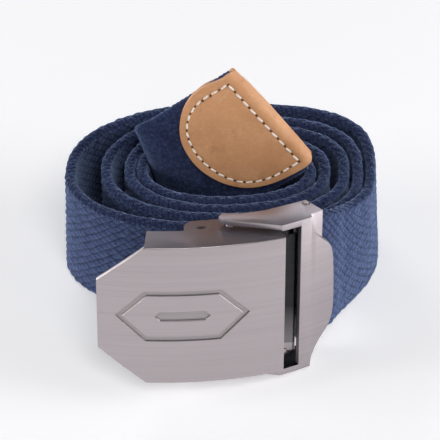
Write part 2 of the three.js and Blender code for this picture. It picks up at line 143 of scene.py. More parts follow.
class Nodes:  # short hand for wiring a material or the world
    def __init__(self, owner):
        owner.use_nodes = True
        self.owner = owner
        self.tree = owner.node_tree
        self.shader = self.tree.nodes.get("Principled BSDF") or self.tree.nodes["Background"]

    def feed(self, socket, value):  # an output is wired to the socket, a number or a colour is set on it
        if isinstance(value, bpy.types.NodeSocket):
            self.tree.links.new(value, socket)
        else:
            socket.default_value = (*value, 1) if socket.type == "RGBA" else value

    def add(self, kind, **settings):
        node = self.tree.nodes.new(kind)
        for key, value in settings.items():
            if key in node.inputs:
                self.feed(node.inputs[key], value)
            else:
                setattr(node, key, value)
        return node

    def surface(self, settings):
        for name, value in settings.items():
            self.feed(self.shader.inputs[name], value)

    def math(self, operation, *values):
        node = self.add("ShaderNodeMath", operation=operation)
        for socket, value in zip(node.inputs, values):
            self.feed(socket, value)
        return node.outputs[0]

    def minus(self, a, b):
        return self.math("SUBTRACT", a, b)

    def times(self, a, b):
        return self.math("MULTIPLY", a, b)

    def total(self, *parts):  # each part with its weight
        result = self.times(*parts[0])
        for part in parts[1:]:
            result = self.math("ADD", result, self.times(*part))
        return result

    def blend(self, share, a, b, kind="RGBA"):  # of two colours, or of two numbers as FLOAT
        node = self.add("ShaderNodeMix", data_type=kind)
        first, result = (6, 2) if kind == "RGBA" else (2, 0)
        for place, value in ((0, share), (first, a), (first + 1, b)):
            self.feed(node.inputs[place], value)
        return node.outputs[result]

    def spread(self, value, low, high, lowTo=0.0, highTo=1.0, curve="LINEAR"):
        node = self.add("ShaderNodeMapRange", interpolation_type=curve)
        for socket, number in zip(node.inputs, (value, low, high, lowTo, highTo)):
            self.feed(socket, number)
        return node.outputs[0]

    def noise(self, vector, scale, detail=3, roughness=0.5):
        node = self.add("ShaderNodeTexNoise", Vector=vector, Scale=scale, Detail=detail, Roughness=roughness)
        return node.outputs["Fac"]

    def spots(self, vector, scale, randomness=1.0):
        node = self.add("ShaderNodeTexVoronoi", Vector=vector, Scale=scale, Randomness=randomness)
        return node.outputs["Distance"]

    def stretched(self, vector, scale):
        return self.add("ShaderNodeMapping", Vector=vector, Scale=scale).outputs[0]

    def split(self, vector):
        return self.add("ShaderNodeSeparateXYZ", Vector=vector).outputs[:]

    def place(self):
        return self.add("ShaderNodeTexCoord").outputs["Object"]

    def marked(self, name, output="Fac"):
        return self.add("ShaderNodeAttribute", attribute_name=name).outputs[output]

    def raised(self, height, distance):
        bump = self.add("ShaderNodeBump", Height=height, Distance=distance)
        self.feed(self.shader.inputs["Normal"], bump.outputs[0])


print("stage: camera, floor and light")
# places and sizes of the camera, the floor and the lamps are in metres
cameraPlace = {
    "at": (-0.000603, -0.46916, 0.49925),
    "aim": (-0.000603, 0.030061, 0.000023),
    "lens": 196.36,  # mm, as the sensor
    "sensor": 36,
    "sees": (0.02, 20),  # nearest and farthest
}
clearSelection()
bpy.ops.object.camera_add(location=cameraPlace["at"], rotation=facing(cameraPlace["at"], cameraPlace["aim"]))
camera = bpy.context.object
camera.name = "photo_camera"
camera.data.lens = cameraPlace["lens"]
camera.data.sensor_width = cameraPlace["sensor"]
camera.data.clip_start, camera.data.clip_end = cameraPlace["sees"]
bpy.context.scene.camera = camera

studio = {
    "floor": (0.86, 0.853, 0.878),
    "paintedFloorGlow": 0.305,  # painted light: the floor glows as no lamp does and lights the belt from below, but not inside the coil, where the glow fades out as painted shade
    "glowMiddle": (0, 0.013, 0),
    "coilShadeFades": (0.022, 0.042),
    "glowTint": (1, 1.01, 1),
    "wallFront": 0.82,  # brightness of the white walls on the camera's side
    "wallBack": 1.94,  # and behind the belt
    "wallTurns": (-0.6, 0.6),  # where the one goes over into the other
    "wallEnds": (0.15, 0.5),  # how high up the walls fade out
    "above": 0.0,
    "wallTint": (1, 1, 1.01),
    "lampAim": (0, 0, 0.02),
    "lamps": {
        "key": {"at": (0.15, -0.62, 0.95), "size": 0.45, "power": 3.6},
        "left": {"at": (-0.9, -0.1, 0.3), "size": 0.5, "power": 4.5},
        "right": {"at": (0.9, -0.1, 0.3), "size": 0.5, "power": 5.8},
        "back": {"at": (-0.45, 0.75, 0.7), "size": 0.4, "power": 1.3},
    },
}
clearSelection()
bpy.ops.mesh.primitive_grid_add(x_subdivisions=8, y_subdivisions=8, size=8)
floor = bpy.context.object
floor.name = "pale_floor"
floorPaint = Nodes(bpy.data.materials.new("floor_paint"))
# painted shade: the floor's glow fades out towards the coil's middle, darkening the floor under and around the
# coil
fromCoil = floorPaint.add("ShaderNodeVectorMath", operation="DISTANCE")
floorPaint.feed(fromCoil.inputs[0], floorPaint.place())
floorPaint.feed(fromCoil.inputs[1], studio["glowMiddle"])
paintedFloorGlow = floorPaint.spread(
    fromCoil.outputs["Value"], *studio["coilShadeFades"], 0, studio["paintedFloorGlow"], "SMOOTHSTEP"
)
floorPaint.surface(
    {
        "Base Color": studio["floor"],
        "Roughness": 0.9,
        "Specular IOR Level": 0.1,
        "Emission Color": studio["glowTint"],
        "Emission Strength": paintedFloorGlow,
    }
)
floor.data.materials.append(floorPaint.owner)

for lampName, lamp in studio["lamps"].items():
    turned = facing(lamp["at"], studio["lampAim"])
    bpy.ops.object.light_add(type="AREA", location=lamp["at"], rotation=turned)
    light = bpy.context.object
    light.name = lampName + "_light"
    light.data.shape = "DISK"
    light.data.size = lamp["size"]
    light.data.energy = lamp["power"]

walls = Nodes(bpy.data.worlds.new("soft_studio"))
bpy.context.scene.world = walls.owner
lookY, lookZ = walls.split(walls.add("ShaderNodeTexCoord").outputs["Generated"])[1:]
wallLight = walls.spread(lookY, *studio["wallTurns"], studio["wallFront"], studio["wallBack"], "SMOOTHSTEP")
wallShare = walls.spread(lookZ, *studio["wallEnds"], 1, 0, "SMOOTHSTEP")
wallGlow = walls.blend(wallShare, studio["above"], wallLight, "FLOAT")
walls.surface({"Color": studio["wallTint"], "Strength": wallGlow})
bpy.context.scene.view_settings.view_transform = "Standard"


print("stage: route of the strap")
# the numbers of the route and the pieces are in millimetres, but for those marked m
bow = {"radius": 92.0}
hinge = {"along": 12.3, "depth": 10.2, "turnDeg": 7.2, "lift": 0.4}
buckle = {"at": (-7.45, -64.45, 28.05), "turnDeg": 5.2, "leanDeg": 15.0, "rollDeg": 1.5}
# from the route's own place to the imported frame's
placeShift = np.array([-0.6028785705566406, 30.061109749701863, 0.023236852139234543])
route = {
    "clamped": [(31.9, 3.85), (34.4, 3.85), (36.8, 3.9)],  # way along the bow, depth
    "clampedLift": 2.3,
    "leadIn": [  # x, y, z, and the direction of the strap's width
        (30.2, -41.6, 23.6, 0, 0.17, 0.985),
        (33.1, -36.9, 21.6, 0, 0.09, 0.996),
        (36.8, -31.9, 19.7, 0, 0.03, 1),
        (40.9, -25.4, 19, -0.01, 0, 1),
    ],
    "coilMiddle": (0, -17),
    "coilSteps": 8,
    "stands": (19.0, 1.4),  # half the width and half the thickness, on the floor
    "coil": [  # half-width, exponent of the quarter's curve, lean, sway
        (43.0, 3.2, 3.6, 0),
        (25.6, 2.05, 0.5, 0),
        (42.2, 2.15, 2.4, -4.2),
        (22.1, 2.6, -1, 0),
        (38.3, 2.9, 0, 0),
        (20.4, 2.1, 0, 0),
        (31.7, 2.2, 0, 0),
        (19.0, 2.4, 0, 0),
        (34.6, 2.7, 0, 0),
        (17.1, 2.1, 0, 0),
        (25.2, 2.1, 0, 0),
        (15.8, 2.3, 0, 0),
        (29.2, 2.4, 0, 0),
        (13.6, 2.1, 0, 0),
        (21.9, 2.1, 0, 0),
        (12.6, 2.2, 0, 0),
        (25.2, 2.2, 0, 0),
    ],
    "freeEnd": [
        (17, -9.1, 19.6, 0, 0, 1),
        (4, -7.1, 21.5, -0.06, 0.02, 1),
        (-7.5, -7.8, 25.4, -0.15, 0.02, 0.98),
        (-14.8, -10.2, 29.6, -0.23, 0, 0.97),
        (-17.4, -13.6, 32.4, -0.26, 0, 0.965),
        (-15.4, -16.6, 34.6, -0.37, 0.05, 0.93),
    ],
    "tip": (15.5, -15.6, 55.9),
    "tipAlong": (0.857, 0.111, 0.616),
    "tipAcross": (-0.59, 0.174, 0.789),
    "tipStraight": [26.5, 24.5, 16, 8, 0],
    "tipShort": 2.7,  # the strap stops this far inside the leather's fold
    "perSpan": 24,  # points of the fine line between two places
    "lookAhead": 1.2,  # the way to both sides over which the strap's direction is taken
}


def unit(v):
    v = np.asarray(v, float)
    return v / np.linalg.norm(v, axis=-1, keepdims=True)


def bowPlace(along, depth):
    angle = np.asarray(along) / bow["radius"]
    radius = bow["radius"] - np.asarray(depth)
    return radius * np.sin(angle), bow["radius"] - radius * np.cos(angle)


def buckleMatrix():
    turn, lean, roll = (math.radians(buckle[k]) for k in ("turnDeg", "leanDeg", "rollDeg"))
    level = Vector((math.sin(turn), -math.cos(turn), 0))
    up = Vector((0, 0, 1))
    out = level * math.cos(lean) + up * math.sin(lean)
    rise = up * math.cos(lean) - level * math.sin(lean)
    side = rise.cross(out)
    along = side * math.cos(roll) - rise * math.sin(roll)
    across = side * math.sin(roll) + rise * math.cos(roll)
    turned = Matrix((along, -out, across)).transposed().to_4x4()
    return Matrix.Translation(Vector(buckle["at"])) @ turned


def frameMatrix():
    x, y = bowPlace(hinge["along"], hinge["depth"])
    there = Matrix.Translation(Vector((x, y, hinge["lift"])))
    back = Matrix.Translation(Vector((-x, -y, 0)))
    return there @ Matrix.Rotation(math.radians(hinge["turnDeg"]), 4, "Z") @ back


tipAlong = unit(route["tipAlong"])
tipAcross = np.array(route["tipAcross"], float)
tipAcross = unit(tipAcross - tipAlong * tipAcross.dot(tipAlong))
tipOut = np.cross(tipAlong, tipAcross)


def coilPlace(quarter, part):  # a place in a quarter turn, and the direction of the width there
    reachA, square, leanA, sway = route["coil"][quarter]
    reachB, _, leanB, _ = route["coil"][quarter + 1]
    angle = part * math.pi / 2
    c = math.cos(angle) ** (2 / square) if part < 1 else 0.0
    s = math.sin(angle) ** (2 / square)
    turn = (quarter % 4) * math.pi / 2
    first = np.array([math.cos(turn), math.sin(turn)])
    second = np.array([-first[1], first[0]])
    x, y = route["coilMiddle"] + first * reachA * c + second * reachB * s
    normal = unit(first * c / reachA + second * s / reachB)
    lean = math.radians(leanA + (leanB - leanA) * part + sway * math.sin(math.pi * part))
    halfWide, halfThick = route["stands"]
    z = halfWide * math.cos(lean) + halfThick * abs(math.sin(lean))
    return (x, y, z, *(-normal * math.sin(lean)), math.cos(lean))


def routePoints():
    places, widths = [], []
    toBelt = buckleMatrix() @ frameMatrix()
    across = unit(toBelt.to_3x3() @ Vector((0, 0, 1)))
    for along, depth in route["clamped"]:
        x, y = bowPlace(along, depth)
        places.append(toBelt @ Vector((x, y, route["clampedLift"])))
        widths.append(across)
    quarters, steps = len(route["coil"]) - 1, route["coilSteps"]
    turns = [coilPlace(i, k / steps) for i in range(quarters) for k in range(steps)]
    turns.append(coilPlace(quarters - 1, 1))
    for row in route["leadIn"] + turns + route["freeEnd"]:
        places.append(row[:3])
        widths.append(unit(row[3:]))
    for back in route["tipStraight"]:
        places.append(np.array(route["tip"]) - tipAlong * (back + route["tipShort"]))
        widths.append(tipAcross)
    return np.array(places, float), np.array(widths, float)


def hermite(a, b, ta, tb, t):
    return a + ta * t + (3 * (b - a) - 2 * ta - tb) * t**2 + (2 * (a - b) + ta + tb) * t**3


def curveThrough(points, centripetal, perSpan):
    first = 2 * points[0] - points[1]
    last = 2 * points[-1] - points[-2]
    full = np.vstack([first, points, last])
    t = np.linspace(0, 1, perSpan, endpoint=False)[:, None]
    rows = []
    for i in range(1, len(full) - 2):
        p0, p1, p2, p3 = full[i - 1 : i + 3]
        if centripetal:
            d0, d1, d2 = (max(np.linalg.norm(b - a), 1e-9) ** 0.5 for a, b in ((p0, p1), (p1, p2), (p2, p3)))
            ta = ((p1 - p0) / d0 - (p2 - p0) / (d0 + d1) + (p2 - p1) / d1) * d1
            tb = ((p2 - p1) / d1 - (p3 - p1) / (d1 + d2) + (p3 - p2) / d2) * d1
        else:
            ta, tb = (p2 - p0) / 2, (p3 - p1) / 2
        rows.append(hermite(p1, p2, ta, tb, t))
    rows.append(points[-1:])
    return np.vstack(rows)


places, widths = routePoints()
fineLine = curveThrough(places, True, route["perSpan"])
fineWide = unit(curveThrough(widths, False, route["perSpan"]))
runSoFar = np.concatenate([[0], np.cumsum(np.linalg.norm(np.diff(fineLine, axis=0), axis=1))])
strapLength = runSoFar[-1]
print("strap length, mm:", round(float(strapLength), 2))


def alongStrap(run):  # middle line, width direction and outward direction at each run
    def on(line, at):
        return np.column_stack([np.interp(at, runSoFar, line[:, k]) for k in range(3)])

    wide = unit(on(fineWide, run))
    ahead = on(fineLine, run + route["lookAhead"]) - on(fineLine, run - route["lookAhead"])
    return on(fineLine, run), wide, unit(np.cross(unit(ahead), wide))


print("stage: webbing")
webbing = {
    "width": 38.0,
    "thick": 2.8,
    "round": 1.0,  # how far in from the edge the face starts to round off
    "rimSquare": 0.8,  # under 1 the rim is fuller than a half circle
    "cellsAcross": 26,  # on the flat of each face
    "rimCells": 4,  # round each rim
    "cellLong": 1.42,
    "relief": 0.2,  # floats above the middle, and grooves below it
    "grooveShare": 0.8,  # how much shallower one slanting set of grooves is where the other is deep
    "setTurn": 1.5,  # how fast the two sets change over as the strap turns
    "flatTop": 0.7,  # under 1 the floats have flatter tops
    "seed": 7,
    "strayWaves": 14,
    "wavesAlong": (0.08, 0.34),
    "wavesRound": 14,
    "wander": 0.221,  # how far the floats stray, in cells
    "uneven": (0.5, 1.25),  # the lowest and the highest float against the usual one
    "heightsDrawn": 65536,
    "dealt": (4096, 127, 7919, 31),  # how the drawn heights are dealt out to the floats and the scallops
    "scallop": 0.15,
    "wornFrom": 62.0,  # before the end, where the floats are flattened
    "wornOver": 14.0,
    "wornShare": 0.8,
    "pressedThick": 2.0,
    "pressedFrom": 40.2,  # before the end
    "pressedOver": 12.0,
    "merge": 0.01,
}
faceCells, rimCells = webbing["cellsAcross"], webbing["rimCells"]
cellsAlong = int(round(strapLength / webbing["cellLong"] / 2)) * 2
cellsRound = 2 * (faceCells + rimCells)
faceHalf = webbing["width"] / 2 - webbing["round"]
rimRows = np.arange(0, rimCells, 0.5)
around = np.concatenate(  # where the section's points lie, in cells: outer face, rim, inner face, rim
    [
        np.arange(0, faceCells, 0.5),
        faceCells + rimRows,
        cellsRound / 2 + np.arange(0, faceCells, 2),
        cellsRound - rimCells + rimRows,
        [cellsRound],
    ]
)


def sectionPoint(v):  # place in the strap's section, and its outward direction, from the way round in cells
    halfThick = webbing["thick"] / 2
    w, h, nw, nh = np.zeros((4, len(v)))
    for start, way in ((0, 1), (cellsRound / 2, -1)):
        face = (v >= start) & (v < start + faceCells)
        w[face] = way * (2 * faceHalf * (v[face] - start) / faceCells - faceHalf)
        h[face], nh[face] = way * halfThick, way
        rim = (v >= start + faceCells) & (v < start + faceCells + rimCells)
        angle = math.pi * (v[rim] - start - faceCells) / rimCells
        w[rim] = way * (faceHalf + webbing["round"] * np.sin(angle) ** webbing["rimSquare"])
        h[rim] = way * halfThick * np.cos(angle)
        nw[rim] = way * np.sin(angle)
        nh[rim] = way * np.cos(angle)
    return w, h, nw, nh


dice = np.random.default_rng(webbing["seed"])
strayWaves = [  # waves along, waves round, two phases and two shares
    (
        dice.uniform(*webbing["wavesAlong"]),
        dice.integers(-webbing["wavesRound"], webbing["wavesRound"] + 1) / cellsRound,
        *dice.uniform(0, 2 * math.pi, 2),
        *dice.uniform(-1, 1, 2),
    )
    for _ in range(webbing["strayWaves"])
]
unevenness = dice.uniform(*webbing["uneven"], webbing["heightsDrawn"])


def strayed(u, v):  # the floats wander a little from their even places
    offU, offV = 0, 0
    for alongWaves, roundWaves, phaseU, phaseV, shareU, shareV in strayWaves:
        turn = 2 * math.pi * (alongWaves * u + roundWaves * v)
        offU = offU + shareU * np.sin(turn + phaseU)
        offV = offV + shareV * np.sin(turn + phaseV)
    reach = webbing["wander"] / len(strayWaves) ** 0.5
    return u + offU * reach, v + offV * reach


strap, column, row = gridPiece("webbing_strap", 2 * cellsAlong, len(around) - 1)
runCells = column / 2
roundCells = np.append(around[:-1], 0)[row]  # the last row closes on the first
w, h, nw, nh = sectionPoint(roundCells)
run = runCells / cellsAlong * strapLength
at, wide, out = alongStrap(run)
pressed = easeIn(run, strapLength - webbing["pressedFrom"], webbing["pressedOver"])
h *= 1 + (webbing["pressedThick"] / webbing["thick"] - 1) * pressed
worn = easeIn(run, strapLength - webbing["wornFrom"], webbing["wornOver"])
u, v = strayed(runCells, roundCells)
# 1 where the rising set of grooves is the deeper one, 0 where the falling set is, by which way the strap faces
# sideways; the cotton also paints the deeper set's grooves darker, as painted shade
firstDeep = 0.5 + 0.5 * np.clip(webbing["setTurn"] * out[:, 0] * nh, -1, 1)
shallow = webbing["grooveShare"]
firstCut = (1 - np.abs(np.cos(math.pi * (u + v) / 2))) * (1 - shallow * (1 - firstDeep))
secondCut = (1 - np.abs(np.sin(math.pi * (u - v) / 2))) * (1 - shallow * firstDeep)
floats = ((1 - firstCut) * (1 - secondCut)) ** webbing["flatTop"]
setSize, risingJump, fallingJump, scallopJump = webbing["dealt"]
rising = np.floor((u + v + 1) / 2).astype(int) % setSize
falling = np.floor((u - v) / 2).astype(int) % setSize
floats *= unevenness[(rising * risingJump + falling * fallingJump) % len(unevenness)]
rise = webbing["relief"] * (2 * floats - 1) * (1 - webbing["wornShare"] * worn)
rise[(nh == -1) & (np.abs(w) < faceHalf - 0.1)] = 0  # the inner face is plain but for its bump
wave = np.cos(2 * math.pi * runCells) * unevenness[(column * scallopJump) % len(unevenness)]
side = w + nw * (rise + webbing["scallop"] * np.abs(nw) * wave)
face = h + nh * rise
writePoints(strap, (at + placeShift + wide * side[:, None] + out * face[:, None]) * mm)
for markName, values in (("wornShare", worn), ("firstDeep", firstDeep)):
    strap.data.attributes.new(markName, "FLOAT", "POINT").data.foreach_set("value", values)

uvLayer = strap.data.uv_layers.active.data
uv = np.zeros(len(uvLayer) * 2)
uvLayer.foreach_get("uv", uv)
uv = uv.reshape(-1, 2)
uvU, uvV = strayed(uv[:, 0] * cellsAlong, around[np.rint(uv[:, 1] * (len(around) - 1)).astype(int)])
uvLayer.foreach_set("uv", np.column_stack([uvU / cellsAlong, uvV / cellsRound]).ravel())
closeUp(strap, webbing["merge"])
bpy.ops.object.shade_smooth()
print("webbing faces:", len(strap.data.polygons))

cottonYarn = {
    "lit": (0.062, 0.087, 0.205),
    "deep": (0.014, 0.022, 0.062),
    # painted shade: near-black for the grooves between the floats
    "grooveShade": (0.006, 0.009, 0.03),
    "hair": (0.17, 0.215, 0.38),
    "sheen": (0.45, 0.6, 1.0),
    "bump": 0.00035,  # m
}
cotton = Nodes(bpy.data.materials.new("navy_cotton"))
uvMap = cotton.add("ShaderNodeUVMap", uv_map=strap.data.uv_layers.active.name).outputs[0]
cells = cotton.stretched(uvMap, (cellsAlong, cellsRound, 1))
cellU, cellV = cotton.split(cells)[:2]
riseWay, fallWay = cotton.math("ADD", cellU, cellV), cotton.minus(cellU, cellV)  # along the two slanting sets
fromRising = cotton.math("ABSOLUTE", cotton.math("COSINE", cotton.times(riseWay, math.pi / 2)))
fromFalling = cotton.math("ABSOLUTE", cotton.math("SINE", cotton.times(fallWay, math.pi / 2)))
shadedSetShare = cotton.marked("firstDeep")
firstLine = cotton.times(cotton.minus(1.0, fromRising), cotton.spread(shadedSetShare, 0, 1, 0.5, 1.0))  # 1 in the groove; the set that is the deeper one here gets the full painted shade
secondLine = cotton.times(cotton.minus(1.0, fromFalling), cotton.spread(shadedSetShare, 0, 1, 1.0, 0.5))
gapShare = cotton.minus(1.0, cotton.math("MAXIMUM", firstLine, secondLine))
floatHill = cotton.times(cotton.minus(1.0, firstLine), cotton.minus(1.0, secondLine))
slant = cotton.add("ShaderNodeCombineXYZ", X=riseWay, Y=fallWay).outputs[0]
strands = cotton.noise(cotton.stretched(slant, (0.7, 2.6, 1)), 1.0, 3, 0.6)  # twisted yarns within a float
fuzz = cotton.noise(cells, 2.6, 5, 0.8)
patches = cotton.noise(cells, 0.55, 2)
cloudy = cotton.noise(cotton.place(), 55)
tone = cotton.total((strands, 0.5), (fuzz, 0.6), (patches, 0.35), (cloudy, 0.15))
yarn = cotton.blend(cotton.spread(tone, 0.5, 1.1), cottonYarn["deep"], cottonYarn["lit"])
hairs = cotton.noise(cotton.stretched(slant, (1.2, 7, 1)), 1.0, 2)
yarn = cotton.blend(cotton.spread(hairs, 0.66, 0.78, 0.0, 0.5), yarn, cottonYarn["hair"])
flattened = cotton.marked("wornShare")
ragged = cotton.minus(cotton.total((gapShare, 1.0), (fuzz, 0.9), (patches, 0.8), (flattened, 0.3)), 0.85)
fromFace = cotton.math("MODULO", cotton.minus(cellV, faceCells), cellsRound / 2)
onRim = cotton.spread(cotton.math("ABSOLUTE", cotton.minus(fromFace, rimCells / 2)), 2.6, 1.6)
loops = cotton.spots(cotton.stretched(slant, (0.7, 1.0, 1)), 1.9)
ribs = cotton.times(cotton.total((cellU, 1.0), (cellV, 0.22), (fuzz, 0.5)), math.pi)
ribs = cotton.spread(cotton.math("ABSOLUTE", cotton.math("SINE", ribs)), 0.1, 0.7, 0.45, 1.0)
loopShade = cotton.times(cotton.spread(loops, 0.1, 0.85, 1.0, 0.4), ribs)
knots = cotton.spots(cells, 1.35, 0.75)  # the flattened end shows small knots
knotShade = cotton.spread(knots, 0.12, 0.72, 1.1, 0.35)
knotShade = cotton.times(cotton.spread(ragged, -0.1, 0.75, 0.5, 1.0), knotShade)
gapLight = cotton.blend(flattened, cotton.spread(ragged, 0.14, 0.68), knotShade, "FLOAT")
gapLight = cotton.blend(onRim, gapLight, loopShade, "FLOAT")
cotton.surface(
    {
        # painted shade: the grooves get the near-black groove colour
        "Base Color": cotton.blend(gapLight, cottonYarn["grooveShade"], yarn),
        "Roughness": 0.92,
        "Specular IOR Level": 0.15,
        "Sheen Weight": 0.8,
        "Sheen Roughness": 0.35,
        "Sheen Tint": cottonYarn["sheen"],
    }
)
floatHill = cotton.total((floatHill, 1.0), (cotton.times(loopShade, onRim), 1.2))
floatHill = cotton.times(floatHill, cotton.minus(1.0, cotton.times(flattened, 0.6)))
cotton.raised(cotton.total((floatHill, 0.5), (tone, 0.9)), cottonYarn["bump"])
strap.data.materials.append(cotton.owner)
settle(strap, "strap_side", "webbing", "strap_webbing")


print("stage: leather tip")
leather = {
    "wall": 1.4,
    "innerRoom": 1.45,  # from the strap's middle to the leather's inside
    "rows": 78,
    "columns": 180,
    "foldShift": ((-16, 0.95), (4.6, 0.3), (12, -0.2), (19, -1.05)),  # height on the fold, its place there
    "backTrim": (1.6, 5, 20),  # the back flap is this much shorter, and it grows over these ways
    "outline": [  # the front flap, from the fold's upper end round to its lower one: ways along and across
        (-1.0, 17.7),
        (-1.6, 18.5),
        (-2.6, 19.0),
        (-5.2, 19.0),
        (-8.4, 19.6),
        (-11.2, 19.95),
        (-14.4, 19.5),
        (-17.7, 18.1),
        (-20.6, 16.0),
        (-23.2, 13.2),
        (-25.2, 9.6),
        (-26.3, 5.0),
        (-26.4, 0.4),
        (-25.3, -4.3),
        (-23.1, -8.7),
        (-19.9, -12.3),
        (-16.2, -14.5),
        (-11.7, -15.9),
        (-7.0, -16.5),
        (-2.6, -16.7),
        (-0.9, -16.4),
        (0.2, -15.6),
        (0.9, -14.4),
    ],
    "stitchRound": [  # needle line beside the round edge
        (-4.6, 17.0),
        (-7.3, 16.9),
        (-12.3, 17.2),
        (-17.4, 15.7),
        (-21.5, 12.2),
        (-23.8, 6.8),
        (-24.2, 0.9),
        (-22.7, -5.3),
        (-19.6, -10.3),
        (-14.8, -13.2),
        (-10.0, -14.2),
        (-3.1, -14.3),
    ],
    "perSpan": 12,
    "roundStitches": 22,
    "foldStitches": 10,
    "seamPoints": (200, 100),
    "seamDip": (0.16, 0.7),  # depth and half width
    "needleDip": (0.1, 0.5),
    "swell": 0.12,  # away from the seams
    "swellFrom": 1,
    "swellOver": 4,
    "swellInside": 3,  # from the cut edge
    "settlesOver": 6,  # past the fold
    "edge": 0.3,
    "bump": 0.00009,  # m
}


def evenly(line, count):
    run = np.concatenate([[0], np.cumsum(np.linalg.norm(np.diff(line, axis=0), axis=1))])
    want = np.linspace(0, run[-1], count)
    return np.column_stack([np.interp(want, run, line[:, k]) for k in range(line.shape[1])])


def foldAt(y):
    heights, shifts = np.array(leather["foldShift"]).T
    return np.interp(y, heights, shifts)


def leatherPlace(flatX, flatY, proud, front):  # flat leather wrapped round the strap's end
    middle = leather["innerRoom"] + leather["wall"] / 2
    radius = middle + proud
    quarter = math.pi / 2 * middle
    d = np.maximum(foldAt(flatY) - flatX, 0)
    angle = np.clip(d / quarter, 0, 1) * math.pi / 2
    flatFrom = leather["innerRoom"] + leather["wall"]
    x = foldAt(flatY) - flatFrom + radius * np.cos(angle) - np.maximum(d - quarter, 0)
    # well away from the fold the leather lies where it did when it was flat
    x = x + np.clip((d - quarter) / leather["settlesOver"], 0, 1) * (flatFrom - quarter)
    z = front * radius * np.sin(angle)
    at = np.array(route["tip"]) + placeShift
    return (at + tipAlong * x[:, None] + tipAcross * flatY[:, None] + tipOut * z[:, None]) * mm


def shorterBack(flat):  # how much lower a place on the back flap lies than the same on the front
    most, overX, overY = leather["backTrim"]
    return most * np.clip(-flat[:, 0] / overX, 0, 1) * np.clip(flat[:, 1] / overY, 0, 1)


def awayFrom(line):  # from each place on the flat leather to each point of the line, squared
    return ((flatPlace[:, None, :] - line[None, :, :]) ** 2).sum(2)


def smoothLine(name, count):
    return evenly(curveThrough(np.array(leather[name], float), True, leather["perSpan"]), count + 1)


outline = smoothLine("outline", leather["columns"])
needleRound = smoothLine("stitchRound", leather["roundStitches"])
needleFold = evenly(needleRound[[-1, 0]], leather["foldStitches"] + 1)
needles = np.vstack([needleRound, needleFold[1:-1]])
seamLines = list(zip((needleRound, needleFold), leather["seamPoints"]))
seam = np.vstack([evenly(line, count) for line, count in seamLines])
seamTurn = np.concatenate([np.linspace(0, 2 * math.pi * (len(line) - 1), count) for line, count in seamLines])

tip, tipColumn, tipRow = gridPiece("tip_leather_folded", 2 * leather["rows"], leather["columns"])
share = tipColumn / leather["rows"] - 1  # -1 at the back flap's edge, 0 on the fold, 1 at the front flap's edge
front = np.where(share < 0, -1.0, 1.0)
foldLine = np.linspace(outline[0, 1], outline[-1, 1], len(outline))
foldLine = np.column_stack([foldAt(foldLine), foldLine])
rowShare = np.abs(share)[:, None]
flatPlace = foldLine[tipRow] * (1 - rowShare) + outline[tipRow] * rowShare
flatPlace[:, 1] -= shorterBack(flatPlace) * (front < 0)
toSeams = awayFrom(seam)
toSeam = np.sqrt(toSeams.min(1))
stitchTurn = seamTurn[toSeams.argmin(1)]
toNeedle = np.sqrt(awayFrom(needles).min(1))
toEdge = np.sqrt(awayFrom(outline).min(1))
seamWay = unit(np.gradient(seam, axis=0))
seamSide = np.stack([-seamWay[:, 1], seamWay[:, 0]], axis=1)
seamSide *= np.sign(((seam.mean(0) - seam) * seamSide).sum(1))[:, None]
# signed, so that it runs evenly through the seam
offSeam = (flatPlace @ seamSide.T - (seam * seamSide).sum(1)).min(1)
sunk = leather["swell"] * np.clip((toSeam - leather["swellFrom"]) / leather["swellOver"], 0, 1)
sunk *= toEdge > leather["swellInside"]
for (deep, half), distance in ((leather["seamDip"], toSeam), (leather["needleDip"], toNeedle)):
    sunk -= deep * np.exp(-((distance / half) ** 2))
writePoints(tip, leatherPlace(flatPlace[:, 0], flatPlace[:, 1], sunk, front))
stitchPlace = np.column_stack([np.cos(stitchTurn), np.sin(stitchTurn), offSeam])
tip.data.attributes.new("stitchPlace", "FLOAT_VECTOR", "POINT").data.foreach_set("vector", stitchPlace.ravel())
thickness = tip.modifiers.new("wall", "SOLIDIFY")
thickness.thickness = leather["wall"] * mm
thickness.offset = 0
roundEdges(tip, leather["edge"], 3, 50)
bpy.ops.object.shade_smooth()

hide = {
    "light": (0.74, 0.39, 0.195),
    "dark": (0.57, 0.275, 0.125),
    "grain": (0.42, 0.19, 0.08),
    "scuffed": (0.85, 0.55, 0.34),
    "stained": (0.3, 0.13, 0.055),
    # painted shade: near-black where the needle holes are, for the shade inside them
    "needleHoleShade": (0.008, 0.003, 0.002),
    "seam": (0.25, 0.1, 0.045),
}
stitch = {
    "long": 3.1,
    "sides": 10,
    "cuts": (-0.4, -0.25, -0.08, 0.08, 0.25, 0.4),  # where its length is cut, so that it can arch
    "from": 0.14,  # of the way between two needle holes
    "share": 0.72,
    "slant": 0.16,
    "endShare": 0.55,  # how thick its ends are
    "wide": 0.62,
    "high": 0.5,
    "endsUnder": 0.28,  # under the leather's face
    "arch": 0.38,
    "light": (0.95, 0.88, 0.8),
    "dark": (0.8, 0.68, 0.58),
    "bump": 0.00006,  # m
}
tan = Nodes(bpy.data.materials.new("tan_leather"))
tanPlace = tan.place()
tanPatch = tan.noise(tanPlace, 90, 4)
tanGrain = tan.noise(tanPlace, 1300, 5, 0.65)
tanScuffs = tan.noise(tan.stretched(tanPlace, (160, 420, 160)), 1.0, 4, 0.7)
turnX, turnY, offLine = tan.split(tan.marked("stitchPlace", "Vector"))
fromNeedle = tan.times(tan.math("ARCTAN2", turnY, turnX), stitch["long"] / 2 / math.pi)
fromNeedle = tan.math("ADD", tan.math("POWER", fromNeedle, 2), tan.math("POWER", offLine, 2))
fromNeedle = tan.math("SQRT", fromNeedle)
tanColour = tan.blend(tan.spread(tanPatch, 0.3, 0.7), hide["dark"], hide["light"])
